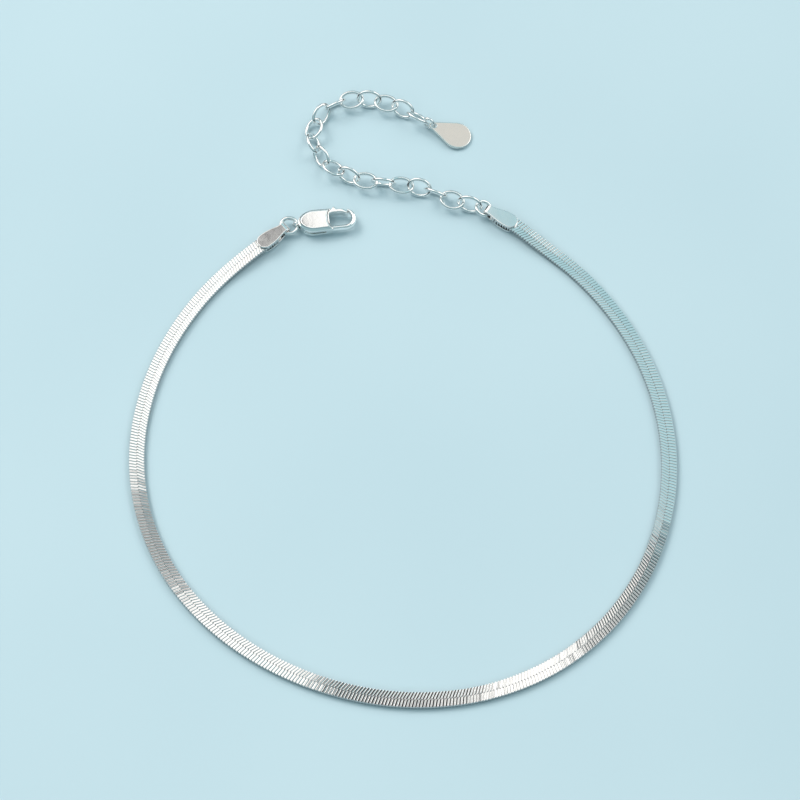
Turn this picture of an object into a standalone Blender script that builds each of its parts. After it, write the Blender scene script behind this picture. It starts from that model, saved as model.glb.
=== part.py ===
"""A flat herringbone chain anklet with a lobster clasp and an extender chain, lying unfastened.

Metres, +Z up. The anklet lies on the plane z = 0, with the middle of its box at x = y = 0.
The woven band is one solid here, with the band's true cross-section. Every ring, link, cap and
clasp piece is a solid of its own, linked through its neighbours with a small clearance.
"""

import math

import bmesh
import bpy
import numpy as np
from mathutils import Matrix, Vector

MM = 0.001

# Between pieces that fit together, and between rings that hang loosely in each other
CLEARANCE = 0.1 * MM
RING_SLACK = 0.25 * MM

# The woven band: two rows of slanted bars side by side, a shallow line between them
BAND_WIDTH = 2.3 * MM
BAND_THICKNESS = 0.8 * MM
BAND_LINE_DEPTH = 0.09 * MM
BAND_EDGE_ROUND = 0.28 * MM
BAND_END_RISE = 0.6 * MM
BAND_RISE_RUN = 9.0 * MM
BAND_STATIONS = 98

# The folded strip on each end of the band
CAP_THICKNESS = 0.3 * MM
CAP_WIDTH = 2.5 * MM
CAP_NECK_WIDTH = 1.5 * MM
CAP_OVERLAP = 4.0 * MM
CAP_TAPER_RUN = 3.0 * MM
CAP_FOLD_REACH = 1.0 * MM
CAP_EDGE_BREAK = 0.07 * MM

# Round rings: how far each is turned in its plane, tilted sideways and lifted at its far side, in degrees
JUMP_RING_OUTER = 3.2 * MM
JUMP_RING_WIRE = 0.6 * MM
JUMP_RING_TURN = -9.0
JUMP_RING_TILT = 8.0
JUMP_RING_LIFT = 0.0
EXTENDER_RING_OUTER = 2.9 * MM
EXTENDER_RING_WIRE = 0.5 * MM
EXTENDER_RING_TURN = 0.0
EXTENDER_RING_TILT = 6.0
EXTENDER_RING_LIFT = 14.0
TAG_RING_OUTER = 2.3 * MM
TAG_RING_WIRE = 0.42 * MM
TAG_RING_ROLL = 80.0

# Oval links of the extender chain
LINK_LENGTH = 4.1 * MM
LINK_WIDTH = 3.2 * MM
LINK_WIRE = 0.52 * MM
LINK_SAG = 0.12 * MM
WIRE_SIDES = 6
LINK_STEPS = 16
RING_STEPS = 18

# The lobster clasp, from the point of its body along +X to the end of its hook
CLASP_LENGTH = 9.1 * MM
CLASP_WIDTH = 3.8 * MM
CLASP_THICKNESS = 2.1 * MM
CLASP_TURN = 7.0
BODY_LENGTH = 4.9 * MM
BODY_POINT_RUN = 2.6 * MM
BODY_FLARE = 0.4 * MM
BODY_CROWN = 0.3 * MM
HOOK_WIDTH = 0.78 * MM
HOOK_THICKNESS = 1.3 * MM
HOOK_TIP_WIDTH = 0.4 * MM
HOOK_TIP_THICKNESS = 1.0 * MM
HOOK_SET_BACK = 0.08 * MM
HOOK_ROOT_DEPTH = 0.6 * MM
HOOK_TIP_ANGLE = 72.0
HOOK_TAPER_ANGLE = 12.0
HOOK_SIDES = 10
HOOK_SQUARENESS = 2.6
EYE_WIRE = 0.38 * MM
EYE_CLEARANCE = 0.18 * MM
EYE_FROM_POINT = 0.06 * MM
SIDE_SLOT_HEIGHT = 0.5 * MM
SIDE_SLOT_DEPTH = 0.6 * MM
SIDE_SLOT_FROM_POINT = 0.91 * MM
SIDE_SLOT_END_WALL = 0.7 * MM

# The lever and the rivet that it swings on
LEVER_THICKNESS = 1.2 * MM
LEVER_EDGE_BREAK = 0.1 * MM
LEVER_SIDE_CLEARANCE = 0.12 * MM
RIVET_RADIUS = 0.3 * MM
RIVET_CLEARANCE = 0.08 * MM
RIVET_FROM_POINT = 3.55 * MM
RIVET_FROM_MIDLINE = 0.6 * MM
LEVER_HEEL_RADIUS = 0.72 * MM
LEVER_ARM_WIDTH = 0.62 * MM
LEVER_NOSE_WIDTH = 0.42 * MM
NUB_HEIGHT = 0.45 * MM
NUB_WIDTH = 0.65 * MM

# The teardrop tag
TAG_LENGTH = 7.0 * MM
TAG_WIDTH = 4.55 * MM
TAG_THICKNESS = 0.45 * MM
TAG_POINT_RADIUS = 0.55 * MM
TAG_HOLE_RADIUS = 0.45 * MM
TAG_HOLE_FROM_POINT = 0.78 * MM
TAG_EDGE_BREAK = 0.08 * MM
TAG_TURN = -22.0

# Where the chain lies: the band from the clasp's end cap round to the extender's, in plan
BAND_ROUTE_MM = (
    (-18.64, 28.12), (-21.72, 25.52), (-28.00, 19.66), (-33.67, 11.30), (-37.36, 1.84),
    (-38.70, -8.26), (-37.32, -18.39), (-33.13, -27.74), (-26.57, -35.53), (-18.32, -41.42),
    (-8.94, -45.28), (1.16, -46.92), (11.51, -45.96), (21.28, -42.10), (29.53, -35.52),
    (35.48, -26.86), (38.79, -17.00), (39.46, -6.74), (37.66, 3.26), (33.62, 12.55),
    (27.55, 20.85), (19.90, 27.65), (17.95, 29.27), (14.56, 31.40),
)

# The extender chain past its ring, from the first link to the tag's ring, in plan
EXTENDER_ROUTE_MM = (
    (8.60, 33.60), (4.00, 35.80), (-1.50, 36.80), (-6.60, 37.60),
    (-10.90, 40.10), (-13.50, 44.00), (-13.20, 48.20), (-10.30, 51.40), (-5.80, 52.40),
    (-0.60, 51.00), (5.20, 47.70), (8.00, 46.40),
)

# How far each link is rolled about its own length, in degrees from lying flat
LINK_ROLLS = (
    (1, -68.0), (2, -8.0), (3, 64.0), (4, -54.0), (5, 2.0), (6, 76.0), (7, 2.0),
    (8, -70.0), (9, 22.0), (10, 118.0), (11, 50.0), (12, -26.0), (13, 58.0), (14, -62.0),
    (15, 10.0), (16, 62.0), (17, 2.0), (18, 62.0), (19, -48.0),
)

SILVER = (0.80, 0.81, 0.82)
SILVER_BAND = (0.74, 0.75, 0.76)
SILVER_WARM = (0.84, 0.83, 0.80)

# How far down a shape is drawn in, and over what height, from its flat top to its side wall
CROWN_STEPS = ((1.0, 1.0), (0.62, 0.40), (0.25, 0.10), (0.0, 0.0))


def clear_scene():
    """Remove every object that the scene starts with."""
    for obj in list(bpy.data.objects):
        bpy.data.objects.remove(obj, do_unlink=True)


def metal(name, colour, roughness):
    """A polished metal of one colour."""
    made = bpy.data.materials.new(name)
    made.use_nodes = True
    shader = made.node_tree.nodes["Principled BSDF"]
    shader.inputs["Base Color"].default_value = (*colour, 1.0)
    shader.inputs["Metallic"].default_value = 1.0
    shader.inputs["Roughness"].default_value = roughness
    return made


def smooth_curve(points, samples=40):
    """A dense curve through the points, by cubic pieces with chord-length tangents."""
    points = np.asarray(points, float)
    gaps = np.linalg.norm(np.diff(points, axis=0), axis=1)
    at = np.concatenate(([0.0], np.cumsum(gaps)))
    slopes = np.gradient(points, at, axis=0)
    dense = []
    for i, gap in enumerate(gaps):
        t = np.linspace(0.0, 1.0, samples, endpoint=False)[:, None]
        dense.append(
            (2 * t**3 - 3 * t**2 + 1) * points[i]
            + (t**3 - 2 * t**2 + t) * gap * slopes[i]
            + (3 * t**2 - 2 * t**3) * points[i + 1]
            + (t**3 - t**2) * gap * slopes[i + 1]
        )
    dense.append(points[-1:])
    return np.concatenate(dense)


def along(curve, distances):
    """Points of a dense curve at distances from its start."""
    run = np.concatenate(([0.0], np.cumsum(np.linalg.norm(np.diff(curve, axis=0), axis=1))))
    return np.stack([np.interp(distances, run, curve[:, k]) for k in range(curve.shape[1])], axis=1)


def curve_length(curve):
    """The length of a dense curve."""
    return float(np.linalg.norm(np.diff(curve, axis=0), axis=1).sum())


def ease(t):
    """0 to 1 with level ends."""
    t = np.clip(t, 0.0, 1.0)
    return t * t * (3 - 2 * t)


def skin(rings, closed=False):
    """A mesh through rings of equal count: closed on itself, or with a face at each end."""
    mesh = bmesh.new()
    loops = [[mesh.verts.new(point) for point in ring] for ring in rings]
    following = loops[1:] + loops[:1] if closed else loops[1:]
    for here, there in zip(loops, following):
        for i in range(len(here)):
            j = (i + 1) % len(here)
            mesh.faces.new((here[i], here[j], there[j], there[i]))
    if not closed:
        mesh.faces.new(loops[0][::-1])
        mesh.faces.new(loops[-1])
    bmesh.ops.recalc_face_normals(mesh, faces=mesh.faces)
    return mesh


def place(name, mesh, material, matrix=None, sharp_above=40.0):
    """A named object from a mesh, smooth but for its sharp edges."""
    data = bpy.data.meshes.new(name)
    mesh.to_mesh(data)
    mesh.free()
    data.shade_smooth()
    data.set_sharp_from_angle(angle=math.radians(sharp_above))
    obj = bpy.data.objects.new(name, data)
    bpy.context.scene.collection.objects.link(obj)
    if material:
        data.materials.append(material)
    if matrix:
        obj.matrix_world = matrix
    return obj


def combine(target, helper, operation):
    """Join a helper to a piece, or cut it away, and keep the helper out of renders."""
    helper.hide_render = True
    helper.display_type = "WIRE"
    change = target.modifiers.new(f"{operation.title()} {helper.name}", "BOOLEAN")
    change.operation = operation
    change.object = helper
    change.solver = "EXACT"


def lie(at, forward, roll_degrees=0.0):
    """The frame of a piece at a point: X forward, rolled about X from lying flat."""
    forward = Vector(forward).normalized()
    side = Vector((0, 0, 1)).cross(forward).normalized()
    up = forward.cross(side)
    turn = Matrix((forward, side, up)).transposed().to_4x4()
    return Matrix.Translation(at) @ turn @ Matrix.Rotation(math.radians(roll_degrees), 4, "X")


def wire_oval(length, width, wire, steps):
    """A closed oval of round wire, lying in its own XY plane, sized over its outside."""
    reach_x = (length - wire) / 2
    reach_y = (width - wire) / 2
    rings = []
    for k in range(steps):
        turn = 2 * math.pi * k / steps
        middle = Vector((reach_x * math.cos(turn), reach_y * math.sin(turn), 0))
        out = Vector((reach_y * math.cos(turn), reach_x * math.sin(turn), 0)).normalized()
        rings.append(
            [
                middle
                + wire / 2 * (math.cos(a) * out + math.sin(a) * Vector((0, 0, 1)))
                for a in (2 * math.pi * (i + 0.5) / WIRE_SIDES for i in range(WIRE_SIDES))
            ]
        )
    return skin(rings, closed=True)


def band_curve():
    """The band's middle line, flat on the ground and risen at both ends to its caps."""
    plan = smooth_curve(np.asarray(BAND_ROUTE_MM) * MM)
    run = np.concatenate(([0.0], np.cumsum(np.linalg.norm(np.diff(plan, axis=0), axis=1))))
    to_end = np.minimum(run, run[-1] - run)
    rise = BAND_END_RISE * ease((BAND_RISE_RUN + CAP_OVERLAP - to_end) / BAND_RISE_RUN)
    return np.column_stack([plan, BAND_THICKNESS / 2 + rise])


def band_section():
    """(across, up) points of the band's cross-section, with a flat along each row on both faces."""
    half = BAND_WIDTH / 2
    top = BAND_THICKNESS / 2
    corner = ((half, 0.0), (half - 0.3 * BAND_EDGE_ROUND, 0.62 * top), (half - BAND_EDGE_ROUND, top))
    upper = [*corner, (BAND_EDGE_ROUND, top), (0.0, top - BAND_LINE_DEPTH)]
    left = [(-x, z) for x, z in reversed(upper[:-1])]
    lower = [(-x, -z) for x, z in (upper + left)[1:-1]]
    return upper + left + lower


def make_band(material):
    curve = band_curve()
    distances = np.linspace(0.0, curve_length(curve), BAND_STATIONS)
    middles = along(curve, distances)
    forwards = np.gradient(middles, distances, axis=0)
    rings = []
    for middle, forward in zip(middles, forwards):
        frame = lie(middle, forward)
        rings.append([frame @ Vector((0, across, up)) for across, up in band_section()])
    return place("herringbone_band", skin(rings), material)


def cap_stations():
    """(place, up, half width) of the folded strip: upper plate, fold, then lower plate."""
    level = BAND_THICKNESS / 2 + CLEARANCE + CAP_THICKNESS / 2
    end_radius = CAP_WIDTH / 2
    plate = []
    for turn in np.radians((18, 36, 54, 72, 90)):
        plate.append((-CAP_OVERLAP + end_radius * (1 - math.cos(turn)), end_radius * math.sin(turn)))
    for share in (0.0, 0.25, 0.5, 0.75, 1.0):
        along_plate = CAP_FOLD_REACH - CAP_TAPER_RUN * (1 - share)
        width = CAP_WIDTH + (CAP_NECK_WIDTH - CAP_WIDTH) * float(ease(share))
        plate.append((along_plate, width / 2))
    upper = [((x, level), (0, 1), half) for x, half in plate]
    fold = []
    for a in (67.5, 45, 22.5, 0, -22.5, -45, -67.5):
        out = (math.cos(math.radians(a)), math.sin(math.radians(a)))
        fold.append(((CAP_FOLD_REACH + level * out[0], level * out[1]), out, CAP_NECK_WIDTH / 2))
    lower = [((x, -level), (0, -1), half) for (x, _), _, half in reversed(upper)]
    return upper + fold + lower


def make_cap(name, material, frame):
    """A strip folded over the band's end, its fold reaching past the end to hold a ring."""
    half_thick = CAP_THICKNESS / 2
    broken = half_thick - CAP_EDGE_BREAK
    rings = []
    for (x, z), (out_x, out_z), half in cap_stations():
        corners = (
            (half, broken), (half - CAP_EDGE_BREAK, half_thick),
            (-half + CAP_EDGE_BREAK, half_thick), (-half, broken),
            (-half, -broken), (-half + CAP_EDGE_BREAK, -half_thick),
            (half - CAP_EDGE_BREAK, -half_thick), (half, -broken),
        )
        rings.append([Vector((x + out_x * t, y, z + out_z * t)) for y, t in corners])
    return place(name, skin(rings), material, frame)


def ring_in_fold(cap_frame, outer, wire, turn_degrees, tilt_degrees, lift_degrees):
    """The frame of a ring drawn into a cap's fold and lifted about the fold's own axis."""
    radius = (outer - wire) / 2
    bow = radius - math.sqrt(radius**2 - (CAP_NECK_WIDTH / 2) ** 2)
    bore = BAND_THICKNESS / 2 + CLEARANCE
    reach = bore - RING_SLACK - wire / 2 - bow + radius
    fold = cap_frame @ Matrix.Translation((CAP_FOLD_REACH, 0, 0))
    lift = Matrix.Rotation(math.radians(-lift_degrees), 4, "Y")
    turn = Matrix.Rotation(math.radians(turn_degrees), 4, "Z")
    tilt = Matrix.Rotation(math.radians(tilt_degrees), 4, "X")
    return fold @ lift @ Matrix.Translation((reach, 0, 0)) @ turn @ tilt


def clasp_outline(inset):
    """The body's outline in plan, drawn in by an inset, from its point round to its open end."""
    half = CLASP_WIDTH / 2
    shares = [0.0, 0.04, 0.12, 0.24, 0.40, 0.60, 0.80, 1.0]
    side = []
    for share in shares:
        x = BODY_POINT_RUN * share
        side.append((x, half * (1 - (1 - share) ** 2) ** 0.6))
    for flare, drop in ((1.0, 0.03), (0.45, 0.27), (0.0, 0.56)):
        side.append((BODY_LENGTH + flare * BODY_FLARE, half * (1 - drop)))
    stretch = (BODY_LENGTH - 2.2 * inset) / BODY_LENGTH
    narrow = (half - inset) / half
    side = [(1.2 * inset + x * stretch, y * narrow) for x, y in side]
    return side + [(x, -y) for x, y in reversed(side[1:])]


def make_shell(material, frame):
    """The clasp's smooth body, crowned above and below."""
    half = CLASP_THICKNESS / 2
    rings = []
    levels = [(-half + BODY_CROWN * (1 - lift), inset) for inset, lift in CROWN_STEPS]
    levels += [(-z, inset) for z, inset in reversed(levels)]
    for z, inset in levels:
        rings.append([Vector((x, y, z)) for x, y in clasp_outline(inset * BODY_CROWN * 1.3)])
    return place("clasp_body", skin(rings), material, frame, sharp_above=50.0)


def hook_outer():
    """The radius of the hook's round end, over its outside."""
    return CLASP_WIDTH / 2 - HOOK_SET_BACK


def hook_centre_x():
    """Where the middle of the hook's round end lies along the clasp."""
    return CLASP_LENGTH - hook_outer()


def hook_helper(frame):
    """The hook: from the body along its lower side and round the end to its thinned tip."""
    outer = hook_outer()
    stations = []
    root = BODY_LENGTH - HOOK_ROOT_DEPTH
    for share in (0.0, 0.3, 0.65, 1.0):
        x = root + (hook_centre_x() - root) * share
        stations.append((Vector((x, -(outer - HOOK_WIDTH / 2), 0)), Vector((0, -1, 0)), 0.0))
    arc = np.linspace(-90, HOOK_TIP_ANGLE, 15)[1:]
    for a in arc:
        thin = float(np.clip((a - HOOK_TAPER_ANGLE) / (HOOK_TIP_ANGLE - HOOK_TAPER_ANGLE), 0, 1))
        width = HOOK_WIDTH + (HOOK_TIP_WIDTH - HOOK_WIDTH) * thin
        out = Vector((math.cos(math.radians(a)), math.sin(math.radians(a)), 0))
        middle = Vector((hook_centre_x(), 0, 0)) + out * (outer - width / 2)
        stations.append((middle, out, thin))
    rings = []
    for middle, out, thin in stations:
        half_wide = (HOOK_WIDTH + (HOOK_TIP_WIDTH - HOOK_WIDTH) * thin) / 2
        half_high = (HOOK_THICKNESS + (HOOK_TIP_THICKNESS - HOOK_THICKNESS) * thin) / 2
        ring = []
        for i in range(HOOK_SIDES):
            a = 2 * math.pi * (i + 0.5) / HOOK_SIDES
            across, up = math.cos(a), math.sin(a)
            swell = (abs(across) ** HOOK_SQUARENESS + abs(up) ** HOOK_SQUARENESS) ** (-1 / HOOK_SQUARENESS)
            lift = Vector((0, 0, half_high * up * swell))
            ring.append(middle + out * (half_wide * across * swell) + lift)
        rings.append(ring)
    return place("helper_hook", skin(rings), None, frame)


def box_helper(name, low, high, frame):
    """A block between two corners."""
    mesh = bmesh.new()
    bmesh.ops.create_cube(mesh, size=1.0)
    for vert in mesh.verts:
        vert.co = [low[k] if vert.co[k] < 0 else high[k] for k in range(3)]
    return place(name, mesh, None, frame)


def rod_helper(name, x, y, radius, half_height, frame, sides=20):
    """An upright round rod."""
    mesh = bmesh.new()
    bmesh.ops.create_cone(
        mesh, cap_ends=True, segments=sides, radius1=radius, radius2=radius, depth=2 * half_height
    )
    bmesh.ops.translate(mesh, vec=(x, y, 0), verts=mesh.verts)
    return place(name, mesh, None, frame)


def eye_helpers(frame):
    """The clasp's eye, an upright wire ring for the jump ring, and the bore that clears its way."""
    bore = JUMP_RING_WIRE / 2 + EYE_CLEARANCE
    outer = 2 * (bore + EYE_WIRE)
    upright = frame @ Matrix.Translation((-EYE_FROM_POINT, 0, 0)) @ Matrix.Rotation(math.pi / 2, 4, "X")
    eye = place("helper_eye", wire_oval(outer, outer, EYE_WIRE, RING_STEPS), None, upright)
    cut = rod_helper("helper_eye_bore", 0, 0, bore, CLASP_WIDTH / 2, upright)
    return eye, cut


def make_clasp_body(material, frame):
    """Shell, hook, eye and rivet as one piece, open between its cheeks for the lever."""
    body = make_shell(material, frame)
    far = CLASP_WIDTH
    slot_half = LEVER_THICKNESS / 2 + LEVER_SIDE_CLEARANCE
    floor = RIVET_FROM_MIDLINE - LEVER_HEEL_RADIUS - LEVER_SIDE_CLEARANCE
    start = RIVET_FROM_POINT - LEVER_HEEL_RADIUS - LEVER_SIDE_CLEARANCE
    slot = box_helper(
        "helper_lever_slot", (start, floor, -slot_half), (hook_centre_x(), far, slot_half), frame
    )
    side = box_helper(
        "helper_side_slot",
        (SIDE_SLOT_FROM_POINT, -far, -SIDE_SLOT_HEIGHT / 2),
        (BODY_LENGTH - SIDE_SLOT_END_WALL, -CLASP_WIDTH / 2 + SIDE_SLOT_DEPTH, SIDE_SLOT_HEIGHT / 2),
        frame,
    )
    rivet = rod_helper(
        "helper_rivet", RIVET_FROM_POINT, RIVET_FROM_MIDLINE, RIVET_RADIUS,
        (slot_half + CLASP_THICKNESS / 2) / 2, frame,
    )
    eye, eye_bore = eye_helpers(frame)
    combine(body, eye, "UNION")
    combine(body, eye_bore, "DIFFERENCE")
    combine(body, slot, "DIFFERENCE")
    combine(body, side, "DIFFERENCE")
    combine(body, hook_helper(frame), "UNION")
    combine(body, rivet, "UNION")
    return body


def lever_path():
    """(x, y, width) along the lever, from its heel on the rivet to its nose, measured from the rivet."""
    arm_y = CLASP_WIDTH / 2 - HOOK_SET_BACK - LEVER_ARM_WIDTH / 2 - RIVET_FROM_MIDLINE
    centre = hook_centre_x() - RIVET_FROM_POINT
    inside_tip = hook_outer() - HOOK_TIP_WIDTH - CLEARANCE - LEVER_NOSE_WIDTH / 2
    nose = math.radians(HOOK_TIP_ANGLE - 2)
    nose_at = (centre + inside_tip * math.cos(nose), inside_tip * math.sin(nose) - RIVET_FROM_MIDLINE)
    rows = (
        (0.0, 0.0, 2 * LEVER_HEEL_RADIUS),
        (0.26 * centre, 0.66 * arm_y, 1.35 * LEVER_ARM_WIDTH),
        (0.48 * centre, 0.98 * arm_y, LEVER_ARM_WIDTH),
        (0.70 * centre, arm_y, LEVER_ARM_WIDTH),
        (0.90 * centre, 0.96 * arm_y, LEVER_ARM_WIDTH),
        (*nose_at, LEVER_NOSE_WIDTH),
    )
    return smooth_curve(rows, samples=6)


def lever_outline(inset):
    """The lever in plan: a tapering bar with a round heel and nose, and the thumb nub outside."""
    rows = lever_path()
    middles = rows[:, :2]
    forwards = np.gradient(middles, axis=0)
    forwards /= np.linalg.norm(forwards, axis=1)[:, None]
    sides = np.stack([-forwards[:, 1], forwards[:, 0]], axis=1)
    halves = rows[:, 2] / 2 - inset
    nub_x = 0.60 * (hook_centre_x() - RIVET_FROM_POINT)
    off = np.abs(middles[:, 0] - nub_x) / (NUB_WIDTH / 2)
    nub = np.where(off < 1.0, np.sqrt(np.clip(1 - off**2, 0, 1)), 0.0) * (NUB_HEIGHT - inset)
    outer = middles + sides * (halves + np.maximum(nub, 0))[:, None]
    inner = middles - sides * halves[:, None]
    spread = np.radians((60, 30, 0, -30, -60))
    nose_turns = math.atan2(forwards[-1][1], forwards[-1][0]) + spread
    heel_turns = math.atan2(-forwards[0][1], -forwards[0][0]) + spread
    nose = middles[-1] + halves[-1] * np.column_stack([np.cos(nose_turns), np.sin(nose_turns)])
    heel = middles[0] + halves[0] * np.column_stack([np.cos(heel_turns), np.sin(heel_turns)])
    return [*outer, *nose, *inner[::-1], *heel]


def make_lever(material, frame):
    """The lever, with its origin on the rivet that it swings on."""
    half = LEVER_THICKNESS / 2
    levels = (
        (-half, LEVER_EDGE_BREAK), (-half + LEVER_EDGE_BREAK, 0.0),
        (half - LEVER_EDGE_BREAK, 0.0), (half, LEVER_EDGE_BREAK),
    )
    rings = [[Vector((x, y, z)) for x, y in lever_outline(inset)] for z, inset in levels]
    pivot = frame @ Matrix.Translation((RIVET_FROM_POINT, RIVET_FROM_MIDLINE, 0))
    lever = place("clasp_lever", skin(rings), material, pivot)
    bore = rod_helper("helper_lever_bore", 0, 0, RIVET_RADIUS + RIVET_CLEARANCE, CLASP_THICKNESS, pivot)
    combine(lever, bore, "DIFFERENCE")
    return lever


def link_drop(roll_degrees):
    """How far a link's lowest point lies below its middle when it is rolled."""
    roll = math.radians(roll_degrees)
    return (LINK_WIDTH - LINK_WIRE) / 2 * abs(math.sin(roll)) + LINK_WIRE / 2


def chain_middles(start):
    """Middles of the ring at the start, each link and the tag's ring, linked up along the route."""
    plan = smooth_curve(np.concatenate(([start[:2]], np.asarray(EXTENDER_ROUTE_MM) * MM)))
    way_out = (plan[-1] - plan[-2]) / np.linalg.norm(plan[-1] - plan[-2])
    plan = np.vstack((plan, plan[-1] + way_out * LINK_LENGTH * len(LINK_ROLLS)))
    ring_step = (
        (EXTENDER_RING_OUTER - EXTENDER_RING_WIRE) / 2
        + (LINK_LENGTH - LINK_WIRE) / 2
        - (EXTENDER_RING_WIRE + LINK_WIRE) / 2
        - RING_SLACK
    )
    link_step = LINK_LENGTH - 2 * LINK_WIRE - RING_SLACK
    last_step = (
        (LINK_LENGTH - LINK_WIRE) / 2
        + (TAG_RING_OUTER - TAG_RING_WIRE) / 2
        - (LINK_WIRE + TAG_RING_WIRE) / 2
        - RING_SLACK
    )
    steps = [0.0, ring_step] + [link_step] * (len(LINK_ROLLS) - 1) + [last_step]
    own = [start[2]]
    own += [link_drop(roll) for _, roll in LINK_ROLLS]
    own += [TAG_RING_OUTER / 2]
    heights = np.array(own)
    for _ in range(40):
        carried = np.minimum(heights[:-2], heights[2:]) - LINK_SAG
        heights[1:-1] = np.maximum(own[1:-1], carried)
    return np.column_stack([along(plan, np.cumsum(steps)), heights])


def make_extender(silver, ring_frame):
    """The ring, the links and the tag's ring, each through the one before."""
    middles = chain_middles(ring_frame.translation)
    forwards = np.gradient(middles, axis=0)
    forwards[-1] = middles[-1] - middles[-2]
    ring = wire_oval(EXTENDER_RING_OUTER, EXTENDER_RING_OUTER, EXTENDER_RING_WIRE, RING_STEPS)
    made = [place("extender_ring", ring, silver, ring_frame)]
    for number, roll in LINK_ROLLS:
        link = wire_oval(LINK_LENGTH, LINK_WIDTH, LINK_WIRE, LINK_STEPS)
        frame = lie(middles[number], forwards[number], roll)
        made.append(place(f"extender_link_{number:02d}", link, silver, frame))
    ring = wire_oval(TAG_RING_OUTER, TAG_RING_OUTER, TAG_RING_WIRE, RING_STEPS)
    tag_ring_frame = lie(middles[-1], forwards[-1], TAG_RING_ROLL)
    made.append(place("tag_ring", ring, silver, tag_ring_frame))
    return made, tag_ring_frame


def tag_outline(inset):
    """A teardrop from its small round point to its large round end, along +X."""
    large = TAG_WIDTH / 2
    small = TAG_POINT_RADIUS
    between = TAG_LENGTH - large - small
    lean = math.degrees(math.asin((large - small) / between))
    around = np.radians(np.linspace(-90 - lean, 90 + lean, 20))
    point = np.radians(np.linspace(90 + lean, 270 - lean, 7))
    outline = [
        (small + between + (large - inset) * math.cos(a), (large - inset) * math.sin(a)) for a in around
    ]
    outline += [(small + (small - inset) * math.cos(a), (small - inset) * math.sin(a)) for a in point]
    return outline


def make_tag(material, ring_frame):
    """The tag, hung on its ring by the hole at its point, with its round end on the ground."""
    half = TAG_THICKNESS / 2
    turn = math.radians(TAG_TURN)
    heading = Vector((math.cos(turn), math.sin(turn), 0))
    hole = ring_frame @ Vector(((TAG_RING_OUTER - TAG_RING_WIRE) / 2, 0, 0))
    reach = TAG_LENGTH - TAG_HOLE_FROM_POINT
    fall = math.asin((hole.z - half) / reach)
    frame = (
        Matrix.Translation(hole)
        @ Matrix.Rotation(turn, 4, "Z")
        @ Matrix.Rotation(fall, 4, "Y")
        @ Matrix.Translation((-TAG_HOLE_FROM_POINT, 0, 0))
    )
    levels = (
        (-half, TAG_EDGE_BREAK), (-half + TAG_EDGE_BREAK, 0.0),
        (half - TAG_EDGE_BREAK, 0.0), (half, TAG_EDGE_BREAK),
    )
    rings = [[Vector((x, y, z)) for x, y in tag_outline(inset)] for z, inset in levels]
    tag = place("teardrop_tag", skin(rings), material, frame)
    bore = rod_helper("helper_tag_hole", TAG_HOLE_FROM_POINT, 0, TAG_HOLE_RADIUS, TAG_WIDTH, frame, 16)
    combine(tag, bore, "DIFFERENCE")
    return tag


def end_frame(curve, at_start):
    """A frame at an end of the band, X pointing out past it."""
    near = curve[::-1] if at_start else curve
    inside = along(near[::-1], np.array([0.0, CAP_OVERLAP]))
    return lie(inside[0], Vector(inside[0] - inside[1]))


def settle(pieces):
    """Hang every piece on one empty that brings the whole to its own middle, on the ground."""
    bpy.context.view_layer.update()
    graph = bpy.context.evaluated_depsgraph_get()
    corners = []
    for piece in pieces:
        seen = piece.evaluated_get(graph)
        data = seen.to_mesh()
        corners += [seen.matrix_world @ vert.co for vert in data.vertices]
        seen.to_mesh_clear()
    corners = np.array(corners)
    low, high = corners.min(axis=0), corners.max(axis=0)
    whole = bpy.data.objects.new("anklet", None)
    bpy.context.scene.collection.objects.link(whole)
    for obj in list(bpy.data.objects):
        if obj is not whole:
            obj.parent = whole
    whole.location = (-(low[0] + high[0]) / 2, -(low[1] + high[1]) / 2, -low[2])


def main():
    clear_scene()
    silver = metal("polished_silver", SILVER, 0.14)
    woven = metal("woven_silver", SILVER_BAND, 0.2)
    warm = metal("tag_silver", SILVER_WARM, 0.16)

    curve = band_curve()
    pieces = [make_band(woven)]
    clasp_side = end_frame(curve, at_start=True)
    extender_side = end_frame(curve, at_start=False)
    pieces.append(make_cap("end_cap_clasp_side", silver, clasp_side))
    pieces.append(make_cap("end_cap_extender_side", silver, extender_side))

    ring_frame = ring_in_fold(
        clasp_side, JUMP_RING_OUTER, JUMP_RING_WIRE, JUMP_RING_TURN, JUMP_RING_TILT, JUMP_RING_LIFT
    )
    ring = wire_oval(JUMP_RING_OUTER, JUMP_RING_OUTER, JUMP_RING_WIRE, RING_STEPS)
    pieces.append(place("clasp_jump_ring", ring, silver, ring_frame))

    ring_radius = (JUMP_RING_OUTER - JUMP_RING_WIRE) / 2
    clasp_turn = math.radians(CLASP_TURN)
    clasp_forward = Vector((math.cos(clasp_turn), math.sin(clasp_turn), 0))
    eye_at = ring_frame.translation + clasp_forward * ring_radius
    clasp_frame = lie(eye_at + clasp_forward * EYE_FROM_POINT, clasp_forward)
    clasp_frame.translation.z = CLASP_THICKNESS / 2
    pieces.append(make_clasp_body(silver, clasp_frame))
    pieces.append(make_lever(silver, clasp_frame))

    ring_frame = ring_in_fold(
        extender_side, EXTENDER_RING_OUTER, EXTENDER_RING_WIRE,
        EXTENDER_RING_TURN, EXTENDER_RING_TILT, EXTENDER_RING_LIFT,
    )
    chain, tag_ring_frame = make_extender(silver, ring_frame)
    pieces += chain
    pieces.append(make_tag(warm, tag_ring_frame))
    settle(pieces)


main()
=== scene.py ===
"""The looks of a flat herringbone chain anklet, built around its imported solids.

The band's two rows of slanted bars, the wire links and rings, and the cast pieces of the clasp, the
end caps and the tag are made here at full detail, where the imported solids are. Metres, +Z up.
"""

import logging
import math
from dataclasses import dataclass, replace
from enum import Enum

import bmesh
import bpy
import numpy as np
from mathutils import Matrix, Vector


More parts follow.
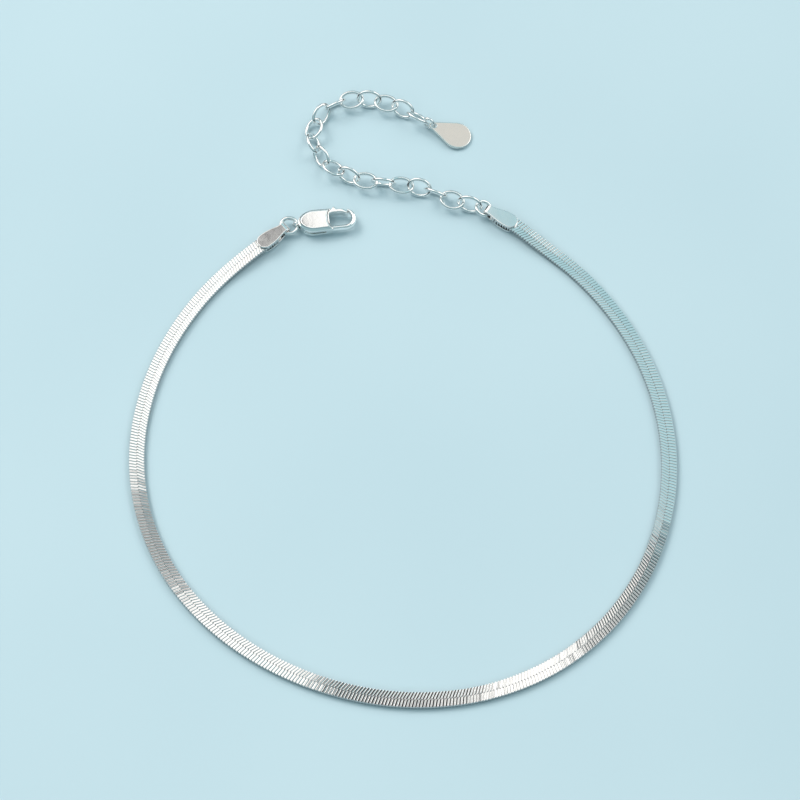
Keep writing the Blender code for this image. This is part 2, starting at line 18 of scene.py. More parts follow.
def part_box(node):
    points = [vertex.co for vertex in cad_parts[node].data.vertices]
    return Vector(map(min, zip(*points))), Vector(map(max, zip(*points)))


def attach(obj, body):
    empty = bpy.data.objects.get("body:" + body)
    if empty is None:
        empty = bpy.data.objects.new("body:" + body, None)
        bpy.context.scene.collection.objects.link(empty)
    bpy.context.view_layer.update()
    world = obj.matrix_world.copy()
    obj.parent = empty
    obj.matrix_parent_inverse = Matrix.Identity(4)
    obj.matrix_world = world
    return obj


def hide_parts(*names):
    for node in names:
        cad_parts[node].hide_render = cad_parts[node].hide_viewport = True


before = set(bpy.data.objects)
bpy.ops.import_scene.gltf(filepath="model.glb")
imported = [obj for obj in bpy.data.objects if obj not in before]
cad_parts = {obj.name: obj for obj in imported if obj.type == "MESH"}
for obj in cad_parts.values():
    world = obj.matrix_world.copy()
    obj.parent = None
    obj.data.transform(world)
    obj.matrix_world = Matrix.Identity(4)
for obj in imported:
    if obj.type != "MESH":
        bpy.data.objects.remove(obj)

LOG = logging.getLogger("anklet")
MM = 0.001
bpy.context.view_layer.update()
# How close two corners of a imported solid's faces lie when they are the same point, in metres
SAME_POINT = 1e-7
# Decimals, in metres, to which points are compared
POINT_DECIMALS = 8

# Where the chain lies, in plan and in millimetres, from the clasp's end cap round to the extender's
BAND_ROUTE_MM = (
    (-18.64, 28.12), (-21.72, 25.52), (-28.00, 19.66), (-33.67, 11.30), (-37.36, 1.84),
    (-38.70, -8.26), (-37.32, -18.39), (-33.13, -27.74), (-26.57, -35.53), (-18.32, -41.42),
    (-8.94, -45.28), (1.16, -46.92), (11.51, -45.96), (21.28, -42.10), (29.53, -35.52),
    (35.48, -26.86), (38.79, -17.00), (39.46, -6.74), (37.66, 3.26), (33.62, 12.55),
    (27.55, 20.85), (19.90, 27.65), (17.95, 29.27), (14.56, 31.40),
)

# Half of a bar's upper outline, from its side to its flat top, as shares of the bar's half width and of
# the groove: how far across, how deep, how much painted shade
BAR_ARCH = ((1.0, 1.0, 1.0), (0.93, 0.28, 0.15), (0.78, 0.07, 0.0), (0.56, 0.0, 0.0))
# A bar's lower edge, as shares of its half width and half thickness: how far across, how far up, how much
# painted shade
BAR_FOOT = (0.75, -0.9, 0.6)
# A bar from its end to its shoulder, as shares of its half length, width and height: how far along, how
# wide, how high, how much painted shade
BAR_END = ((-1.0, 0.5, 0.5, 0.6), (-0.96, 0.82, 0.9, 0.2), (-0.88, 1.0, 1.0, 0.0))
# How far a bar may tip about its width's axis, as a share of how far it may roll about its length's
TIP_SHARE = 0.5
# A noise texture's middle value
NOISE_MIDDLE = 0.5
# The colour sockets of a Mix node: the factor, the first and the second colour, and the result
MIX_FACTOR, MIX_FIRST, MIX_SECOND, MIX_RESULT = 0, 6, 7, 2


class Row(Enum):
    """The two rows of bars, by the side of the band's middle line that each lies on."""

    INNER = 1
    OUTER = -1


class PaintedShade(Enum):
    """Where painted shade darkens a finish: nowhere, in the gaps between the bars, or in a cast piece's inner
    corners.
    """

    NONE = 0
    BAR_GAPS = 1
    CORNERS = 2


class Signal:
    """An output socket that takes part in Python arithmetic, each operation adding a Math node."""

    def __init__(self, tree: bpy.types.NodeTree, socket: bpy.types.NodeSocket) -> None:
        """Keep the tree and the socket."""
        self.tree = tree
        self.socket = socket

    def _math(self, operation: str, *values: "Signal | float") -> "Signal":
        """Add a Math node.

        Args:
            operation: the node's operation.
            values: its inputs in order, signals or numbers.

        Returns:
            The node's output.
        """
        node = self.tree.nodes.new("ShaderNodeMath")
        node.operation = operation
        for slot, value in zip(node.inputs, values):
            if isinstance(value, Signal):
                self.tree.links.new(value.socket, slot)
            else:
                slot.default_value = value
        return Signal(self.tree, node.outputs[0])

    def __add__(self, other: "Signal | float") -> "Signal":
        """Sum."""
        return self._math("ADD", self, other)

    __radd__ = __add__

    def __sub__(self, other: "Signal | float") -> "Signal":
        """Difference."""
        return self._math("SUBTRACT", self, other)

    def __rsub__(self, other: "Signal | float") -> "Signal":
        """Difference from a number."""
        return self._math("SUBTRACT", other, self)

    def __mul__(self, other: "Signal | float") -> "Signal":
        """Product."""
        return self._math("MULTIPLY", self, other)

    __rmul__ = __mul__

    def __truediv__(self, other: "Signal | float") -> "Signal":
        """Quotient."""
        return self._math("DIVIDE", self, other)

    def __rtruediv__(self, other: "Signal | float") -> "Signal":
        """Quotient of a number."""
        return self._math("DIVIDE", other, self)


class NodeSheet:
    """A node tree under construction, for a material or for Geometry Nodes."""

    def __init__(self, tree: bpy.types.NodeTree) -> None:
        """Keep the tree."""
        self.tree = tree

    def add(self, kind: str, settings: dict | None = None, **sockets: object) -> bpy.types.Node:
        """Add a node.

        Args:
            kind: the node's type.
            settings: its own properties, set before its sockets.
            sockets: values or links by socket name, with _ for a space.

        Returns:
            The node.
        """
        node = self.tree.nodes.new(kind)
        for name, value in (settings or {}).items():
            setattr(node, name, value)
        for name, value in sockets.items():
            self.feed(node.inputs[name.replace("_", " ")], value)
        return node

    def feed(self, slot: bpy.types.NodeSocket, value: object) -> None:
        """Set or link one input socket.

        Args:
            slot: the input socket.
            value: a signal or an output socket to link, or a plain value to set.
        """
        if isinstance(value, Signal):
            self.tree.links.new(value.socket, slot)
        elif isinstance(value, bpy.types.NodeSocket):
            self.tree.links.new(value, slot)
        else:
            slot.default_value = value

    def signal(self, socket: bpy.types.NodeSocket) -> Signal:
        """A socket as a signal."""
        return Signal(self.tree, socket)

    def blend(self, share: Signal, first: object, second: object) -> bpy.types.NodeSocket:
        """Mix two colours.

        Args:
            share: how much of the second colour comes in.
            first: a colour or a link.
            second: a colour or a link.

        Returns:
            The mixed colour.
        """
        node = self.add("ShaderNodeMix", {"data_type": "RGBA"})
        self.feed(node.inputs[MIX_FACTOR], share)
        self.feed(node.inputs[MIX_FIRST], first)
        self.feed(node.inputs[MIX_SECOND], second)
        return node.outputs[MIX_RESULT]

    def step(self, value: Signal, start: float, end: float) -> Signal:
        """Ease a signal from 0 to 1.

        Args:
            value: the signal.
            start: where the result is 0.
            end: where the result is 1, above or below the start.

        Returns:
            The eased signal.
        """
        ease = self.add("ShaderNodeMapRange", {"interpolation_type": "SMOOTHSTEP"}, Value=value)
        ease.inputs["From Min"].default_value = start
        ease.inputs["From Max"].default_value = end
        return self.signal(ease.outputs["Result"])


@dataclass(frozen=True)
class SilverFinish:
    """A silver surface: its tone, its gloss, the fine marks of polishing and wear, and painted shade in its
    recesses.
    """

    name: str
    slot: str
    tone: tuple[float, float, float]
    dull_tone: tuple[float, float, float]
    roughness: float
    roughness_spread: float = 0.06
    scratch_depth: float = 0.02
    grain_per_mm: float = 9.0
    dent_depth: float = 0.015
    dent_per_mm: float = 0.7
    painted_shade: PaintedShade = PaintedShade.NONE
    # The colour of the painted shade in recesses
    painted_shade_tone: tuple[float, float, float] = (0.5, 0.5, 0.51)
    # Between which bends of the surface, as Cycles measures them, a corner goes from clear to full painted
    # shade
    corner_bend: tuple[float, float] = (0.495, 0.44)
    # From which broad noise value the dull tone starts, how fast it comes in, and its share without grain
    wear_start: float = 0.35
    wear_gain: float = 1.6
    even_share: float = 0.6
    # The polishing streaks: their turn, their stretch, their fineness beside the grain's, their share
    streak_turn: tuple[float, float, float] = (0.35, 0.2, 0.9)
    streak_stretch: tuple[float, float, float] = (1.0, 0.08, 1.0)
    streak_fineness: float = 2.2
    streak_share: float = 0.6
    scratch_height: float = 0.02 * MM
    dent_height: float = 0.5 * MM

    def painted_shade_mask(self, sheet: NodeSheet) -> Signal:
        """How much painted shade the surface gets: how deep in a recess it lies.

        Args:
            sheet: the material's node tree.

        Returns:
            A signal from 0, in the open, to 1.
        """
        # The bars carry their painted shade in the attribute groove; cast pieces take it from their inner
        # corners
        if self.painted_shade is PaintedShade.BAR_GAPS:
            return sheet.signal(sheet.add("ShaderNodeAttribute", {"attribute_name": "groove"}).outputs["Fac"])
        # Cast pieces: painted shade in the inner corners, from how far the surface bends inward
        bend = sheet.signal(sheet.add("ShaderNodeNewGeometry").outputs["Pointiness"])
        return sheet.step(bend, *self.corner_bend)

    def material(self) -> bpy.types.Material:
        """Build the material.

        Returns:
            A Principled metal whose colour, roughness and bump vary over the surface.
        """
        made = bpy.data.materials.new(self.name)
        made.use_nodes = True
        sheet = NodeSheet(made.node_tree)
        shader = made.node_tree.nodes["Principled BSDF"]
        shader.inputs["Metallic"].default_value = 1.0
        place = sheet.add("ShaderNodeTexCoord").outputs["Object"]
        broad = sheet.add(
            "ShaderNodeTexNoise", Vector=place, Scale=self.dent_per_mm / MM, Detail=3.0, Roughness=0.5
        )
        fine = sheet.add(
            "ShaderNodeTexNoise", Vector=place, Scale=self.grain_per_mm / MM, Detail=5.0, Roughness=0.65
        )
        drawn = sheet.add(
            "ShaderNodeMapping", Vector=place, Rotation=self.streak_turn, Scale=self.streak_stretch
        )
        streak = sheet.add(
            "ShaderNodeTexNoise", Vector=drawn.outputs[0],
            Scale=self.streak_fineness * self.grain_per_mm / MM, Detail=4.0, Roughness=0.6,
        )
        wear = sheet.signal(broad.outputs["Fac"])
        grain = sheet.signal(fine.outputs["Fac"])
        lines = sheet.signal(streak.outputs["Fac"])
        patchy = self.even_share + (1 - self.even_share) * grain
        dullness = (wear - self.wear_start) * self.wear_gain * patchy
        colour = sheet.blend(dullness, (*self.tone, 1.0), (*self.dull_tone, 1.0))
        # Painted shade: the colour goes darker in the gaps between bars or in inner corners, where shade
        # falls
        if self.painted_shade is not PaintedShade.NONE:
            colour = sheet.blend(self.painted_shade_mask(sheet), colour, (*self.painted_shade_tone, 1.0))
        sheet.feed(shader.inputs["Base Color"], colour)
        gloss = self.roughness + self.roughness_spread * ((wear - NOISE_MIDDLE) + (lines - NOISE_MIDDLE))
        sheet.feed(shader.inputs["Roughness"], gloss)
        marks = sheet.add(
            "ShaderNodeBump",
            Strength=self.scratch_depth, Distance=self.scratch_height,
            Height=lines * self.streak_share + grain * (1 - self.streak_share),
        )
        dents = sheet.add(
            "ShaderNodeBump",
            Strength=self.dent_depth, Distance=self.dent_height, Height=wear, Normal=marks.outputs[0],
        )
        sheet.feed(shader.inputs["Normal"], dents.outputs[0])
        return made


@dataclass(frozen=True)
class PaperFinish:
    """The pale matt surface that the anklet lies on."""

    name: str
    light: tuple[float, float, float]
    shade: tuple[float, float, float]
    roughness: float = 0.75
    # The soft drift of the tone: its fineness, the noise value it starts from, how fast it comes in
    drift_per_metre: float = 22.0
    drift_start: float = 0.3
    drift_gain: float = 1.8

    def material(self) -> bpy.types.Material:
        """Build the material.

        Returns:
            A matt Principled surface with a faint soft unevenness of tone.
        """
        made = bpy.data.materials.new(self.name)
        made.use_nodes = True
        sheet = NodeSheet(made.node_tree)
        shader = made.node_tree.nodes["Principled BSDF"]
        place = sheet.add("ShaderNodeTexCoord").outputs["Object"]
        drift = sheet.add(
            "ShaderNodeTexNoise", Vector=place, Scale=self.drift_per_metre, Detail=1.0, Roughness=0.4
        )
        share = (sheet.signal(drift.outputs["Fac"]) - self.drift_start) * self.drift_gain
        tone = sheet.blend(share, (*self.light, 1.0), (*self.shade, 1.0))
        sheet.feed(shader.inputs["Base Color"], tone)
        shader.inputs["Roughness"].default_value = self.roughness
        return made


def new_piece(name: str, mesh: bpy.types.ID) -> bpy.types.Object:
    """Put a mesh in the scene, at the origin.

    Args:
        name: the object's name.
        mesh: its mesh, or a curve.

    Returns:
        The object.
    """
    obj = bpy.data.objects.new(name, mesh)
    bpy.context.scene.collection.objects.link(obj)
    return obj


def as_plain_mesh(obj: bpy.types.Object, name: str) -> bpy.types.Mesh:
    """The mesh of an object as its modifiers leave it.

    Args:
        obj: the object to evaluate.
        name: the new mesh's name.

    Returns:
        A mesh of its own, with no modifiers behind it.
    """
    bpy.context.view_layer.update()
    graph = bpy.context.evaluated_depsgraph_get()
    made = bpy.data.meshes.new_from_object(obj.evaluated_get(graph), depsgraph=graph)
    made.name = name
    return made


def node_points(name: str) -> np.ndarray:
    """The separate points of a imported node.

    Args:
        name: the node's name.

    Returns:
        Its points, each once, in metres.
    """
    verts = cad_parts[name].data.vertices
    points = np.empty(len(verts) * 3)
    verts.foreach_get("co", points)
    return np.unique(np.round(points.reshape(-1, 3), POINT_DECIMALS), axis=0)


def smooth_curve(points: np.ndarray, samples: int = 40) -> np.ndarray:
    """A dense curve through points, by cubic pieces with chord-length tangents.

    Args:
        points: the few points that the curve passes through.
        samples: how many steps each stretch between two points gets.

    Returns:
        The curve's points in order.
    """
    gaps = np.linalg.norm(np.diff(points, axis=0), axis=1)
    at = np.concatenate(([0.0], np.cumsum(gaps)))
    slopes = np.gradient(points, at, axis=0)
    dense = []
    for i, gap in enumerate(gaps):
        t = np.linspace(0.0, 1.0, samples, endpoint=False)[:, None]
        dense.append(
            (2 * t**3 - 3 * t**2 + 1) * points[i]
            + (t**3 - 2 * t**2 + t) * gap * slopes[i]
            + (3 * t**2 - 2 * t**3) * points[i + 1]
            + (t**3 - t**2) * gap * slopes[i + 1]
        )
    dense.append(points[-1:])
    return np.concatenate(dense)


@dataclass
class HerringboneBand:
    """The woven band: two rows of slanted bars along one route, their tapered ends locked together."""

    finish: SilverFinish
    node: str = "herringbone_band"
    width: float = 2.3 * MM
    thickness: float = 0.8 * MM
    pitch: float = 0.463 * MM
    inner_lean: float = 27.0
    outer_lean: float = 13.0
    tuck: float = 0.05 * MM
    groove: float = 0.15 * MM
    unevenness: float = 0.2
    seed: int = 7
    end_rise: float = 0.6 * MM
    rise_run: float = 9.0 * MM
    level_run: float = 4.0 * MM

    def route(self) -> np.ndarray:
        """The band's middle line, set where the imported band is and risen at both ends.

        Returns:
            Its points in order, in metres.
        """
        plan = smooth_curve(np.array(BAND_ROUTE_MM) * MM)
        forward = np.gradient(plan, axis=0)
        forward /= np.linalg.norm(forward, axis=1)[:, None]
        side = np.column_stack([-forward[:, 1], forward[:, 0]]) * self.width / 2
        edges = np.concatenate([plan + side, plan - side])
        low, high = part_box(self.node)
        shift = (np.array(low[:2]) + np.array(high[:2]) - edges.min(axis=0) - edges.max(axis=0)) / 2
        run = np.concatenate(([0.0], np.cumsum(np.linalg.norm(np.diff(plan, axis=0), axis=1))))
        to_end = np.minimum(run, run[-1] - run)
        share = np.clip((self.rise_run + self.level_run - to_end) / self.rise_run, 0.0, 1.0)
        height = self.thickness / 2 + self.end_rise * share * share * (3 - 2 * share)
        return np.column_stack([plan + shift, height])

    def bar_mesh(self, lean: float, name: str) -> bpy.types.Mesh:
        """One bar with a flat top, sloping flanks and tapered ends.

        Args:
            lean: how far the bar is turned from square across the band, in degrees.
            name: the mesh's name.

        Returns:
            The bar's closed mesh, its length along Y, with its painted shade in the attribute "groove": deep
            in the gaps, at its ends and along its foot.
        """
        half_run = (self.width / 2 + self.tuck) / 2 / math.cos(math.radians(lean))
        half_wide = self.pitch / 2 * math.cos(math.radians(lean))
        top = self.thickness / 2
        left = [(-across, 1 - drop * self.groove / top, dark) for across, drop, dark in BAR_ARCH]
        right = [(-across, up, dark) for across, up, dark in reversed(left)]
        foot_across, foot_up, foot_dark = BAR_FOOT
        section = [*left, *right, (foot_across, foot_up, foot_dark), (-foot_across, foot_up, foot_dark)]
        stations = [*BAR_END, *((-run, *rest) for run, *rest in reversed(BAR_END))]
        mesh = bmesh.new()
        rings = []
        # Each point's painted shade: darkest in the gaps between bars, at the tapered ends and along the foot
        painted_gap_shade = []
        for run, wide, high, end_dark in stations:
            ring = []
            for across, up, dark in section:
                ring.append(mesh.verts.new((across * half_wide * wide, run * half_run, up * top * high)))
                painted_gap_shade.append(max(dark, end_dark))
            rings.append(ring)
        for here, there in zip(rings, rings[1:]):
            for i in range(len(section)):
                j = (i + 1) % len(section)
                mesh.faces.new((here[i], here[j], there[j], there[i]))
        # Sharp edges between the shoulders keep each long facet of a bar in one even tone
        last = len(BAR_END)
        shoulders = {*rings[last - 1], *rings[last]}
        for edge in mesh.edges:
            edge.smooth = not shoulders.issuperset(edge.verts)
        mesh.faces.new(rings[0][::-1])
        mesh.faces.new(rings[-1])
        bmesh.ops.recalc_face_normals(mesh, faces=mesh.faces)
        data = bpy.data.meshes.new(name)
        mesh.to_mesh(data)
        mesh.free()
        # The painted shade goes to the bar's material in the attribute groove
        data.attributes.new("groove", "FLOAT", "POINT").data.foreach_set("value", painted_gap_shade)
        data.shade_smooth()
        return data

    def tree(self) -> bpy.types.NodeTree:
        """The Geometry Nodes tree that sets one row's bars along the route.

        Returns:
            A tree with the bar, how many there are, how they lie and the finish as its inputs.
        """
        group = bpy.data.node_groups.new("row_of_bars", "GeometryNodeTree")
        group.interface.new_socket("Route", in_out="INPUT", socket_type="NodeSocketGeometry")
        for name, kind in (
            ("Bar", "NodeSocketObject"), ("Count", "NodeSocketInt"), ("Pitch", "NodeSocketFloat"),
            ("Phase", "NodeSocketFloat"), ("Offset", "NodeSocketFloat"), ("Lean", "NodeSocketFloat"),
            ("Unevenness", "NodeSocketFloat"), ("Seed", "NodeSocketInt"), ("Finish", "NodeSocketMaterial"),
        ):
            group.interface.new_socket(name, in_out="INPUT", socket_type=kind)
        group.interface.new_socket("Row", in_out="OUTPUT", socket_type="NodeSocketGeometry")
        sheet = NodeSheet(group)
        given = sheet.add("NodeGroupInput").outputs
        index = sheet.signal(sheet.add("GeometryNodeInputIndex").outputs[0])
        along = index * sheet.signal(given["Pitch"]) + sheet.signal(given["Phase"])
        spot = sheet.add("GeometryNodeSampleCurve", {"mode": "LENGTH", "use_all_curves": False})
        sheet.feed(spot.inputs["Curves"], given["Route"])
        sheet.feed(spot.inputs["Length"], along)
        side = sheet.add("ShaderNodeVectorMath", {"operation": "CROSS_PRODUCT"})
        side.inputs[0].default_value = (0.0, 0.0, 1.0)
        sheet.feed(side.inputs[1], spot.outputs["Tangent"])
        unit = sheet.add("ShaderNodeVectorMath", {"operation": "NORMALIZE"})
        sheet.feed(unit.inputs[0], side.outputs[0])
        reach = sheet.add("ShaderNodeVectorMath", {"operation": "SCALE"})
        sheet.feed(reach.inputs[0], unit.outputs[0])
        sheet.feed(reach.inputs["Scale"], given["Offset"])
        place = sheet.add("ShaderNodeVectorMath", {"operation": "ADD"})
        sheet.feed(place.inputs[0], spot.outputs["Position"])
        sheet.feed(place.inputs[1], reach.outputs[0])
        points = sheet.add("GeometryNodePoints", Count=given["Count"], Position=place.outputs[0])
        ahead = sheet.add("FunctionNodeAlignEulerToVector", {"axis": "X"}, Vector=spot.outputs["Tangent"])
        level = sheet.add("FunctionNodeAlignEulerToVector", {"axis": "Y", "pivot_axis": "X"})
        sheet.feed(level.inputs["Rotation"], ahead.outputs[0])
        sheet.feed(level.inputs["Vector"], unit.outputs[0])
        most = sheet.signal(given["Unevenness"])
        stray = sheet.add("FunctionNodeRandomValue", {"data_type": "FLOAT_VECTOR"}, Seed=given["Seed"])
        for slot, sign in (("Min", -1.0), ("Max", 1.0)):
            limit = sheet.add("ShaderNodeCombineXYZ", X=most * (sign * TIP_SHARE), Y=most * sign)
            sheet.feed(stray.inputs[slot], limit.outputs[0])
        lean = sheet.add("ShaderNodeCombineXYZ", Z=given["Lean"])
        both = sheet.add("ShaderNodeVectorMath", {"operation": "ADD"})
        sheet.feed(both.inputs[0], lean.outputs[0])
        sheet.feed(both.inputs[1], stray.outputs["Value"])
        turned = sheet.add("FunctionNodeRotateEuler", {"space": "LOCAL"})
        sheet.feed(turned.inputs["Rotation"], level.outputs[0])
        sheet.feed(turned.inputs["Rotate By"], both.outputs[0])
        bar = sheet.add("GeometryNodeObjectInfo", Object=given["Bar"])
        row = sheet.add("GeometryNodeInstanceOnPoints", Points=points.outputs[0])
        sheet.feed(row.inputs["Instance"], bar.outputs["Geometry"])
        sheet.feed(row.inputs["Rotation"], turned.outputs[0])
        real = sheet.add("GeometryNodeRealizeInstances", Geometry=row.outputs[0])
        dressed = sheet.add("GeometryNodeSetMaterial", Geometry=real.outputs[0], Material=given["Finish"])
        sheet.add("NodeGroupOutput", Row=dressed.outputs[0])
        return group

    def build(self) -> bpy.types.Object:
        """Make both rows as one piece.

        Returns:
            The band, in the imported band's place.
        """
        points = self.route()
        length = float(np.linalg.norm(np.diff(points, axis=0), axis=1).sum())
        curve = bpy.data.curves.new("band_route", "CURVE")
        curve.dimensions = "3D"
        line = curve.splines.new("POLY")
        line.points.add(len(points) - 1)
        line.points.foreach_set("co", np.column_stack([points, np.ones(len(points))]).ravel())
        tree = self.tree()
        material = self.finish.material()
        count = int(length / self.pitch) - 1
        margin = (length - (count - 1) * self.pitch) / 2
        joined = bmesh.new()
        for row, lean in ((Row.INNER, self.inner_lean), (Row.OUTER, self.outer_lean)):
            bar = new_piece("bar_pattern", self.bar_mesh(lean, "bar_pattern"))
            carrier = new_piece("row_carrier", curve)
            rows = carrier.modifiers.new("Row of bars", "NODES")
            rows.node_group = tree
            values = {
                "Bar": bar, "Count": count, "Pitch": self.pitch,
                "Phase": margin + row.value * self.pitch / 4,
                "Offset": row.value * (self.width / 2 - self.tuck) / 2,
                "Lean": -math.radians(lean), "Unevenness": math.radians(self.unevenness),
                "Seed": self.seed + row.value, "Finish": material,
            }
            for item in tree.interface.items_tree:
                if item.in_out == "INPUT" and item.name in values:
                    rows[item.identifier] = values[item.name]
            made = as_plain_mesh(carrier, f"band_row_{row.name.lower()}")
            joined.from_mesh(made)
            for helper in (carrier, bar):
                bpy.data.objects.remove(helper)
            bpy.data.meshes.remove(made)
        data = bpy.data.meshes.new("band_bars")
        joined.to_mesh(data)
        joined.free()
        data.shade_smooth()
        data.materials.clear()
        data.materials.append(material)
        band = new_piece("band_bars", data)
        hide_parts(self.node)
        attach(band, "root")
        return band


@dataclass
class WireOvals:
    """Closed ovals of round wire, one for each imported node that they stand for."""

    name: str
    nodes: tuple[str, ...]
    finish: SilverFinish
    length: float
    width: float
    wire: float
    steps: int = 56
    sides: int = 14
    seam_at: float = 0.25
    seam_swell: float = 0.05
    seam_run: float = 0.012

    def tree(self) -> bpy.types.NodeTree:
        """The Geometry Nodes tree that makes one oval of wire and sets it at each point.

        Returns:
            A tree with the oval's sizes and the finish as inputs.
        """
        group = bpy.data.node_groups.new("wire_ovals", "GeometryNodeTree")
        group.interface.new_socket("Places", in_out="INPUT", socket_type="NodeSocketGeometry")
        for name, kind in (
            ("Length", "NodeSocketFloat"), ("Width", "NodeSocketFloat"), ("Wire", "NodeSocketFloat"),
            ("Steps", "NodeSocketInt"), ("Sides", "NodeSocketInt"), ("Seam Swell", "NodeSocketFloat"),
            ("Seam Run", "NodeSocketFloat"), ("Finish", "NodeSocketMaterial"),
        ):
            group.interface.new_socket(name, in_out="INPUT", socket_type=kind)
        group.interface.new_socket("Ovals", in_out="OUTPUT", socket_type="NodeSocketGeometry")
        sheet = NodeSheet(group)
        given = {socket.name: socket for socket in sheet.add("NodeGroupInput").outputs}
        wire = sheet.signal(given["Wire"])
        reach_x = (sheet.signal(given["Length"]) - wire) / 2
        reach_y = (sheet.signal(given["Width"]) - wire) / 2
        circle = sheet.add("GeometryNodeCurvePrimitiveCircle", Resolution=given["Steps"], Radius=1.0)
        size = sheet.add("ShaderNodeCombineXYZ", X=reach_x, Y=reach_y, Z=1.0)
        oval = sheet.add("GeometryNodeTransform", Geometry=circle.outputs["Curve"], Scale=size.outputs[0])
        share = sheet.signal(sheet.add("GeometryNodeSplineParameter").outputs["Factor"])
        off = (share - self.seam_at) / sheet.signal(given["Seam Run"])
        swell = 1 + sheet.signal(given["Seam Swell"]) / (1 + off * off)
        thick = sheet.add("GeometryNodeSetCurveRadius", Curve=oval.outputs[0], Radius=swell)
        profile = sheet.add("GeometryNodeCurvePrimitiveCircle", Resolution=given["Sides"], Radius=wire / 2)
        tube = sheet.add("GeometryNodeCurveToMesh", Curve=thick.outputs[0])
        sheet.feed(tube.inputs["Profile Curve"], profile.outputs["Curve"])
        if "Scale" in tube.inputs:
            sheet.feed(tube.inputs["Scale"], swell)
        facing = sheet.add("GeometryNodeInputNamedAttribute", {"data_type": "FLOAT_VECTOR"}, Name="facing")
        set_out = sheet.add("GeometryNodeInstanceOnPoints", Points=given["Places"])
        sheet.feed(set_out.inputs["Instance"], tube.outputs[0])
        sheet.feed(set_out.inputs["Rotation"], facing.outputs[0])
        real = sheet.add("GeometryNodeRealizeInstances", Geometry=set_out.outputs[0])
        dressed = sheet.add("GeometryNodeSetMaterial", Geometry=real.outputs[0], Material=given["Finish"])
        sheet.add("NodeGroupOutput", Ovals=dressed.outputs[0])
        return group

    def frames(self) -> tuple[np.ndarray, np.ndarray]:
        """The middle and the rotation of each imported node, from the spread of its points.

        Returns:
            The middles, and the XYZ Euler angles that turn an oval to lie as the node does.
        """
        middles, turns = [], []
        for node in self.nodes:
            points = node_points(node)
            middle = points.mean(axis=0)
            spread = np.linalg.svd(points - middle, full_matrices=False)[2]
            axes = np.array([spread[0], spread[1], np.cross(spread[0], spread[1])])
            middles.append(middle)
            turns.append(Matrix(axes.T.tolist()).to_euler())
        return np.array(middles), np.array([list(turn) for turn in turns])

    def build(self) -> bpy.types.Object:
        """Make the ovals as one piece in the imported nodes' places.

        Returns:
            The finished piece.
        """
        middles, turns = self.frames()
        places = bpy.data.meshes.new(f"{self.name}_places")
        places.from_pydata(middles.tolist(), [], [])
        facing = places.attributes.new("facing", "FLOAT_VECTOR", "POINT")
        facing.data.foreach_set("vector", turns.ravel())
        carrier = new_piece(f"{self.name}_carrier", places)
        tree = self.tree()
        maker = carrier.modifiers.new("Wire ovals", "NODES")
        maker.node_group = tree
        material = self.finish.material()
        values = {
            "Length": self.length, "Width": self.width, "Wire": self.wire, "Steps": self.steps,
            "Sides": self.sides, "Seam Swell": self.seam_swell, "Seam Run": self.seam_run,
            "Finish": material,
        }
        for item in tree.interface.items_tree:
            if item.in_out == "INPUT" and item.name in values:
                maker[item.identifier] = values[item.name]
        made = as_plain_mesh(carrier, self.name)
        made.shade_smooth()
        bpy.data.objects.remove(carrier)
        piece = new_piece(self.name, made)
        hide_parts(*self.nodes)
        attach(piece, "root")
        return piece


@dataclass
class CastPiece:
    """A cast or stamped piece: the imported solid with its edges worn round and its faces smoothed."""

    name: str
    node: str
    finish: SilverFinish
    body: str = "root"
    # The even grid's cell, in millimetres, and how the edges are then worn
    grid: float = 0.045
    wear: float = 0.5
    passes: int = 10

    def build(self) -> bpy.types.Object:
        """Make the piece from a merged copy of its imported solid.

        Returns:
            The finished piece.
        """
        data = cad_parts[self.node].data.copy()
        data.name = self.name
        data.materials.clear()
        merged = bmesh.new()
        merged.from_mesh(data)
        bmesh.ops.remove_doubles(merged, verts=merged.verts, dist=SAME_POINT)
        bmesh.ops.recalc_face_normals(merged, faces=merged.faces)
        merged.to_mesh(data)
        merged.free()
        data.transform(Matrix.Scale(1 / MM, 4))
        carrier = new_piece(f"{self.name}_carrier", data)
        grid = carrier.modifiers.new("Even grid", "REMESH")
        grid.mode = "VOXEL"
        grid.voxel_size = self.grid
        worn = carrier.modifiers.new("Worn edges", "SMOOTH")
        worn.factor = self.wear
        worn.iterations = self.passes
        made = as_plain_mesh(carrier, self.name)
        bpy.data.objects.remove(carrier)
        made.transform(Matrix.Scale(MM, 4))
        made.shade_smooth()
        made.materials.clear()
        made.materials.append(self.finish.material())
        piece = new_piece(self.name, made)
        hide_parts(self.node)
        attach(piece, self.body)
        return piece


@dataclass(frozen=True)
class SoftPanel:
    """A square soft light that faces the anklet and lights the surface, unseen in the metal."""

    name: str
    at: tuple[float, float, float]
    power: float
    colour: tuple[float, float, float]
    size: float = 0.4

    def build(self) -> bpy.types.Object:
        """Hang the light.

        Returns:
            The light, turned to the middle of the scene.
        """
        data = bpy.data.lights.new(self.name, "AREA")
        data.shape = "RECTANGLE"
        data.size = self.size
        data.size_y = self.size
        data.energy = self.power
        data.color = self.colour
        light = bpy.data.objects.new(self.name, data)
        light.location = self.at
        light.visible_glossy = False
        light.rotation_euler = Vector(self.at).to_track_quat("Z", "Y").to_euler()
        bpy.context.scene.collection.objects.link(light)
        return light


@dataclass(frozen=True)
class SkySpot:
    """A round patch of the sky, by the direction across and back that it is in."""

    across: float
    back: float
    size: float
    level: float
    core: float = 0.8

    def outside(self, sheet: NodeSheet, across: Signal, back: Signal) -> Signal:
        """Whether a direction misses the patch.

        Args:
            sheet: the world's node tree.
            across: the direction's part to the right.
            back: the direction's part to the back.

        Returns:
            0 in the patch's core, going to 1 at its edge.
        """
        side = across - self.across
        depth = back - self.back
        return sheet.step(side * side + depth * depth, (self.core * self.size) ** 2, self.size**2)


